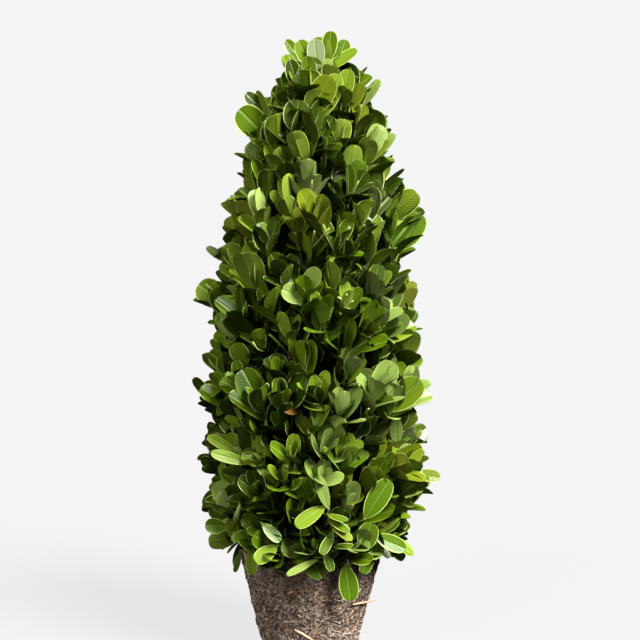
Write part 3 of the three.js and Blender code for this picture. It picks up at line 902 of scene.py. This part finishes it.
def listed_sprigs():
    """The leaves and shoots of the outgrown sprigs and of the crest."""
    outgrown = np.array([row[:3] for row in OUTGROWN], float)
    turns = np.radians(outgrown[:, 1])
    ends = along_growth(outgrown[:, 0], turns, SPRIG_DEPTH - outgrown[:, 2])
    axes = outward(turns, growth_angle(outgrown[:, 0]) - 0.1)
    crest = np.array([row[:3] for row in CREST], float)
    turns = np.radians(crest[:, 1])
    crest_ends = np.stack([crest[:, 0] * np.cos(turns), crest[:, 0] * np.sin(turns), crest[:, 2]], -1)
    crest_axes = outward(turns, math.pi / 2 - crest[:, 0] * 0.02)
    ends = np.concatenate([ends, crest_ends])
    axes = np.concatenate([axes, crest_axes])
    named = np.array([TINT_NAMES.index(row[3]) for row in OUTGROWN + CREST])
    count = len(named)
    tints = np.repeat(named[:, None], len(PAIRS), 1)
    sizes = 1 + draw.normal(0, 0.06, count)
    rolls = draw.uniform(0, math.pi, count)
    return pair_leaves(ends, axes, rolls, tints, sizes), {"end": ends, "axis": axes}


def clear_of_ball(leaves):
    """The leaves whose base, middle and tip all lie above the root ball or outside its straight taper."""
    clear = np.ones(len(leaves["length"]), bool)
    for share in (0.0, 0.5, 1.0):
        point = leaves["base"] + leaves["along"] * (leaves["length"] * share)[:, None]
        width = BALL["foot"] + (BALL["top"] - BALL["foot"]) * point[:, 2] / BALL["height"]
        inside = (point[:, 2] < BALL["height"] + 1) & (np.linalg.norm(point[:, :2], axis=1) < width + 2)
        clear = clear & ~inside
    return {key: value[clear] for key, value in leaves.items()}


def placed_leaves():
    """The listed leaves and their shoots: each from base to tip, facing the viewer and tilted up."""
    rows = np.array([row[:8] for row in PLACED], float)
    base = rows[:, :3]
    tip = np.stack([rows[:, 3], rows[:, 1] - rows[:, 5], rows[:, 4]], -1)
    tilt = rows[:, 6]
    along = unit(tip - base)
    up = squared(np.stack([0 * tilt, tilt - 1, tilt], -1), along)
    count = len(rows)
    leaves = {
        "base": base,
        "along": along,
        "up": up,
        "across": np.cross(along, up),
        "length": np.linalg.norm(tip - base, axis=1),
        "slimness": rows[:, 7],
        "fold": draw.uniform(0.05, 0.2, count),
        "cup": draw.normal(0, 0.008, count),
        "arch": draw.normal(0.03, 0.05, count),
        "twist": draw.normal(0, 0.06, count),
        "tint": np.array([TINT_NAMES.index(row[8]) for row in PLACED]),
    }
    turns = np.arctan2(base[:, 1], base[:, 0])
    return leaves, {"end": base, "axis": outward(turns, growth_angle(base[:, 2]))}


def grow_sprigs():
    """Every leaf and shoot. The placed leaves aren't tested against the root ball that some hang over."""
    grown = [layer_sprigs(number, layer) for number, layer in enumerate(LAYERS)]
    grown.append(listed_sprigs())
    leaves = [clear_of_ball(part) for part, _ in grown]
    shoots = [part for _, part in grown]
    placed, placed_shoots = placed_leaves()
    return joined(leaves + [placed]), joined(shoots + [placed_shoots])


def add_leaves(leaves):
    """Deals the leaves to one piece for each tint, or more where a tint has very many."""
    faces, tiles, places = leaf_shape()
    corners = 1 + faces[1].max()
    for number, name in enumerate(TINT_NAMES):
        chosen = np.flatnonzero(leaves["tint"] == number)
        if not len(chosen):
            continue
        materials = leaf_materials(name)
        parts = np.array_split(chosen, 1 + len(chosen) // LEAVES_A_PIECE)
        for part_number, part in enumerate(parts):
            group = {key: value[part] for key, value in leaves.items()}
            count = len(part)
            points = leaning(leaf_points(group)).reshape(-1, 3)
            all_faces = repeated(faces, corners, count)
            cell = draw.integers(0, LEAF_CELLS**2, count)
            all_places = np.concatenate([in_cells(kind, cell, LEAF_CELLS) for kind in places])
            all_tiles = np.concatenate([np.tile(kind, count) for kind in tiles])
            piece_name = "leaves_" + name + ("_" + str(part_number + 1) if len(parts) > 1 else "")
            add_piece(piece_name, points, all_faces, all_places, materials, "foliage", 48, all_tiles)


# Wood.
def stem_radius(height):
    """Radius of the stem: an even taper from foot to tip, with a flare that dies away above its foot."""
    share = np.clip((height - BALL["height"]) / (STEM["tip_height"] - BALL["height"]), 0, 1)
    flare = STEM["flare"] * np.exp(-np.clip(height - BALL["height"], 0, None) / (0.4 * STEM["flare_height"]))
    return STEM["foot"] + (STEM["tip"] - STEM["foot"]) * share + flare


def add_stem(material):
    """The stem: rings up its axis whose radius is raised and sunk by long ridges and by knots."""
    rows, sides = 150, 40
    foot = BALL["height"] + 0.4
    height = np.linspace(foot, STEM["tip_height"], rows)
    angle = 2 * math.pi * np.arange(sides) / sides
    ring = np.stack([np.cos(angle), np.sin(angle)], -1)[None]
    level = np.broadcast_to(height[:, None, None], (rows, sides, 1))
    where = np.concatenate([np.broadcast_to(ring * 6, (rows, sides, 2)), level * 0.22], -1)
    ridges = lattice_noise(where, 1.6, 5) * 0.55 + lattice_noise(where, 0.7, 6) * 0.25
    knots = np.clip(lattice_noise(where * np.array([1, 1, 4.0]), 7, 7) - 0.35, 0, 1) * 1.6
    radius = stem_radius(height)[:, None] * 0.955 + ridges * 0.5 + knots * 0.6 - 0.3
    skin = np.concatenate([ring * radius[:, :, None], level], -1).reshape(-1, 3)
    points = np.concatenate([[[0, 0, foot]], skin, [[0, 0, STEM["tip_height"] + 1]]])
    places = tube_map(rows, sides, 1, 1)
    add_piece("stem_bark", leaning(points), tube_faces(rows, sides), places, [material], "stem", 60)


def grow_boughs():
    """Boughs from the stem along lines of growth: their paths and radii.

    A bough leaves the stem at 0.72 of its end's height and 4 mm, and tapers evenly from there to its end.
    """
    rows = 9
    count = BOUGHS["count"]
    heights = spread_heights(count)
    turns = np.arange(count) * GOLDEN_TURN + 0.4
    ends = along_growth(heights, turns, BOUGHS["end"])
    inner = along_growth(heights, turns, BOUGHS["bend"])
    root_height = np.clip(heights * 0.72 + 4, BALL["height"] + 8, STEM["tip_height"] - 6)
    roots = np.stack([0 * root_height, 0 * root_height, root_height], -1)
    paths = curve(roots, inner * 0.7 + roots * 0.3, ends, rows)
    thick = BOUGHS["gain"] + BOUGHS["lower_gain"] * (1 - (heights - 60) / 340)
    radii = BOUGHS["radius"] + thick[:, None] * np.linspace(1, 0, rows)
    wander = np.stack([lattice_noise(paths, WANDER["size"], seed) for seed in WANDER["seeds"]], -1)
    return paths + wander * WANDER["by"], radii


def grow_wood(shoots, bark, young):
    """The boughs, a twig from the nearest bough to every sprig, and the sprig's shoot between its leaves."""
    paths, radii = grow_boughs()
    add_tubes("boughs", leaning(paths), radii, 8, 4, bark, "foliage")
    end, axis = shoots["end"], shoots["axis"]
    forks = paths[:, 5:8].reshape(-1, 3)
    far = np.linalg.norm((end - axis * 26)[:, None] - forks[None], axis=-1)
    twig = curve(forks[np.argmin(far, 1)], end - axis * 20, end - axis * 9, 6)
    twig_radii = 0.75 + 0.5 * np.linspace(1, 0, 6)[None] * np.ones((len(end), 1))
    add_tubes("twigs", leaning(twig), twig_radii, 5, 6, bark, "foliage")
    shoot = curve(end - axis * 10, end - axis * 5, end + axis * 1.2, 4)
    shoot_radii = 0.45 + 0.35 * np.linspace(1, 0, 4)[None] * np.ones((len(end), 1))
    add_tubes("shoots", leaning(shoot), shoot_radii, 5, 6, young, "foliage")


def add_stalks():
    """The listed buds and bare stalks: slightly bent tubes that swell just before the tip."""
    foot = np.array([row[0] for row in STALKS], float)
    tip = np.array([row[1] for row in STALKS], float)
    bend = (foot + tip) / 2 + draw.normal(0, 1.2, foot.shape)
    paths = curve(foot, bend, tip, len(STALK_FORM))
    radii = np.array(STALK_FORM)[None] * np.array([row[2] for row in STALKS])[:, None]
    material = shoot_material("bud", (0.250, 0.270, 0.070))
    add_tubes("buds_and_stalks", leaning(paths), radii, 7, 4, material, "foliage")


# Root ball.
def ball_skin(turn, height):
    """Radius of the root ball's side: a straight taper and its felt, with value noise of four sizes."""
    share = np.clip(height / BALL["height"], 0, 1)
    radius = BALL["foot"] + (BALL["top"] - BALL["foot"]) * share
    where = np.stack([radius * np.cos(turn), radius * np.sin(turn), height + 0 * turn], -1)
    return radius + FELT + sum(lattice_noise(where, size, seed) * depth for size, depth, seed in BALL_RELIEF)


def ball_profile():
    """The root ball's rings from the middle of its foot out, up its side and in over its top.

    A ring is a share of the side's radius, and a height. The foot's edge and the shoulder are arcs. The
    last value says how many rings lie on the top.
    """
    foot_edge, shoulder = BALL["foot_edge"], BALL["shoulder"]
    foot = np.linspace(4, BALL["foot"] - foot_edge, 7) / BALL["foot"]
    edge = np.radians(np.linspace(-70, 0, 4))
    side = np.linspace(foot_edge + 0.8, BALL["height"] - shoulder, 74)
    turned = np.radians(np.linspace(12, 85, 6))
    top = np.linspace(0.88, 0.1, 9)
    rings = [
        (foot, 0 * foot),
        (1 - foot_edge / BALL["foot"] * (1 - np.cos(edge)), foot_edge * (1 + np.sin(edge))),
        (1 + 0 * side, side),
        (1 - shoulder / BALL["top"] * (1 - np.cos(turned)), BALL["height"] - shoulder * (1 - np.sin(turned))),
        (top, BALL["height"] + 0 * top),
    ]
    shares, heights = (np.concatenate(part) for part in zip(*rings))
    return shares, heights, len(top)


def add_ball(material):
    """The root ball: rings of its profile on its rough side, with value noise over its top."""
    sides = 220
    turn = 2 * math.pi * np.arange(sides) / sides
    shares, heights, top_rings = ball_profile()
    height = heights[:, None] * np.ones((1, sides))
    radius = ball_skin(turn[None] * np.ones_like(height), height) * shares[:, None]
    points = np.stack([radius * np.cos(turn), radius * np.sin(turn), height], -1)
    points[-top_rings:, :, 2] += lattice_noise(points[-top_rings:], 5, 45) * 1.1 - 0.6
    points = np.concatenate([[[0, 0, 0]], points.reshape(-1, 3), [[0, 0, BALL["height"] - 0.6]]])
    faces = tube_faces(len(heights), sides)
    places = tube_map(len(heights), sides, 1, 1)
    add_piece("root_ball_peat", points, faces, places, [material], "root_ball", 75)


def fibre_paths(count, length, rows, lively):
    """Fibres that wander over the root ball's side: a heading that drifts, at points just off the skin.

    Their first headings are spread widely, in radians, about level, either way round.
    """
    turn = draw.uniform(0, 2 * math.pi, count)
    height = draw.uniform(2, BALL["height"] - 2, count)
    heading = draw.normal(0, 1.6, count) + math.pi * draw.integers(0, 2, count)
    drift = draw.normal(0, lively, count)
    step = length * draw.uniform(0.5, 1.3, count) / rows
    path = []
    for _ in range(rows):
        radius = ball_skin(turn, height) + 0.5 * (0.3 + draw.random(count))
        path.append(np.stack([radius * np.cos(turn), radius * np.sin(turn), height], -1))
        turn = turn + step * np.cos(heading) / np.maximum(radius, 5)
        height = np.clip(height + step * np.sin(heading), 0.6, BALL["height"] + 0.3)
        heading = heading + drift + draw.normal(0, lively, count)
    return np.stack(path, 1)


def add_fibres():
    """Crumbs of peat and coir in five browns all over, some long fine roots, and a few chips of wood."""
    for name, colour, count, length, thick, kind in FIBRES:
        form = np.array(FIBRE_FORMS[kind]["radii"])
        paths = fibre_paths(count, length, len(form), FIBRE_FORMS[kind]["lively"])
        radii = thick * form[None] * draw.uniform(0.7, 1.3, (count, 1))
        add_tubes(name, paths, radii, 3, 6, fibre_material(name, colour), "root_ball")
    widths = np.array(CHIP_FORM)[None] * np.array(CHIP_SIZES)[:, None]
    chip = fibre_material("wood_chip", (0.52, 0.31, 0.19))
    add_tubes("wood_chips", np.array(CHIPS, float), widths, 5, 2, chip, "root_ball")


# Studio.
def add_floor():
    """A wide plain floor just below the plant, which glows pale to the camera and lights nothing."""
    mesh = bpy.data.meshes.new("floor")
    angle = 2 * math.pi * np.arange(FLOOR["sides"]) / FLOOR["sides"]
    rim = FLOOR["radius"] * np.stack([np.cos(angle), np.sin(angle), 0 * angle], -1)
    rim = rim - (0, 0, FLOOR["below"])
    mesh.from_pydata(rim.tolist(), [], [list(range(FLOOR["sides"]))])
    floor = bpy.data.objects.new("floor", mesh)
    bpy.context.scene.collection.objects.link(floor)
    material, start = new_material("studio_floor")
    shader = start.node("ShaderNodeBsdfPrincipled", {}, {
        "Base Color": (FLOOR["grey"], FLOOR["grey"], FLOOR["grey"], 1.0),
        "Roughness": 0.9,
        "Specular IOR Level": 0.0,
        "Emission Color": PALE,
        "Emission Strength": FLOOR["glow"],
    })
    start.node("ShaderNodeOutputMaterial", {}, {"Surface": shader})
    mesh.materials.append(material)
    floor.visible_diffuse = False
    floor.visible_glossy = False


def add_lights():
    """An even sky, pale to the camera and dim as a light, and three suns, of which gloss shows the key."""
    world = bpy.data.worlds.new("studio")
    bpy.context.scene.world = world
    world.use_nodes = True
    sky = world.node_tree.nodes["Background"]
    sky.inputs["Color"].default_value = PALE
    start = Value(world.node_tree)
    seen = start.node("ShaderNodeLightPath", {}, {}, "Is Camera Ray")
    mirrored = start.node("ShaderNodeLightPath", {}, {}, "Is Glossy Ray")
    strength = SKY["light"] + seen * SKY["seen"] - mirrored * SKY["mirrored"]
    world.node_tree.links.new(strength.socket, sky.inputs["Strength"])
    for name, energy, breadth, toward in SUNS:
        lamp = bpy.data.lights.new(name, "SUN")
        lamp.energy = energy
        lamp.angle = math.radians(breadth)
        lamp.color = SUN_COLOUR
        light = bpy.data.objects.new(name, lamp)
        bpy.context.scene.collection.objects.link(light)
        light.rotation_euler = Vector(toward).to_track_quat("Z", "Y").to_euler()
        light.visible_glossy = name == "key"


def add_camera():
    """The camera at the photograph's height and angle."""
    data = bpy.data.cameras.new("camera")
    data.lens = LENS["length"]
    data.sensor_width = LENS["sensor"]
    data.clip_end = CAMERA["reach"]
    camera = bpy.data.objects.new("camera", data)
    bpy.context.scene.collection.objects.link(camera)
    above = math.radians(CAMERA["above"])
    view = Vector((0.0, -math.cos(above), math.sin(above)))
    camera.location = Vector(CAMERA["target"]) + view * CAMERA["distance"]
    camera.rotation_euler = view.to_track_quat("Z", "Y").to_euler()
    bpy.context.scene.camera = camera


add_camera()
add_floor()
add_lights()
bpy.context.scene.view_settings.view_transform = "Standard"

bark = bark_material("bark", (0.060, 0.042, 0.026), (0.185, 0.135, 0.085), 14.0)
young = shoot_material("young_shoot", (0.150, 0.190, 0.035))
all_leaves, all_shoots = grow_sprigs()
add_leaves(all_leaves)
add_stem(bark)
grow_wood(all_shoots, bark, young)
add_stalks()
add_ball(peat_material("peat"))
add_fibres()
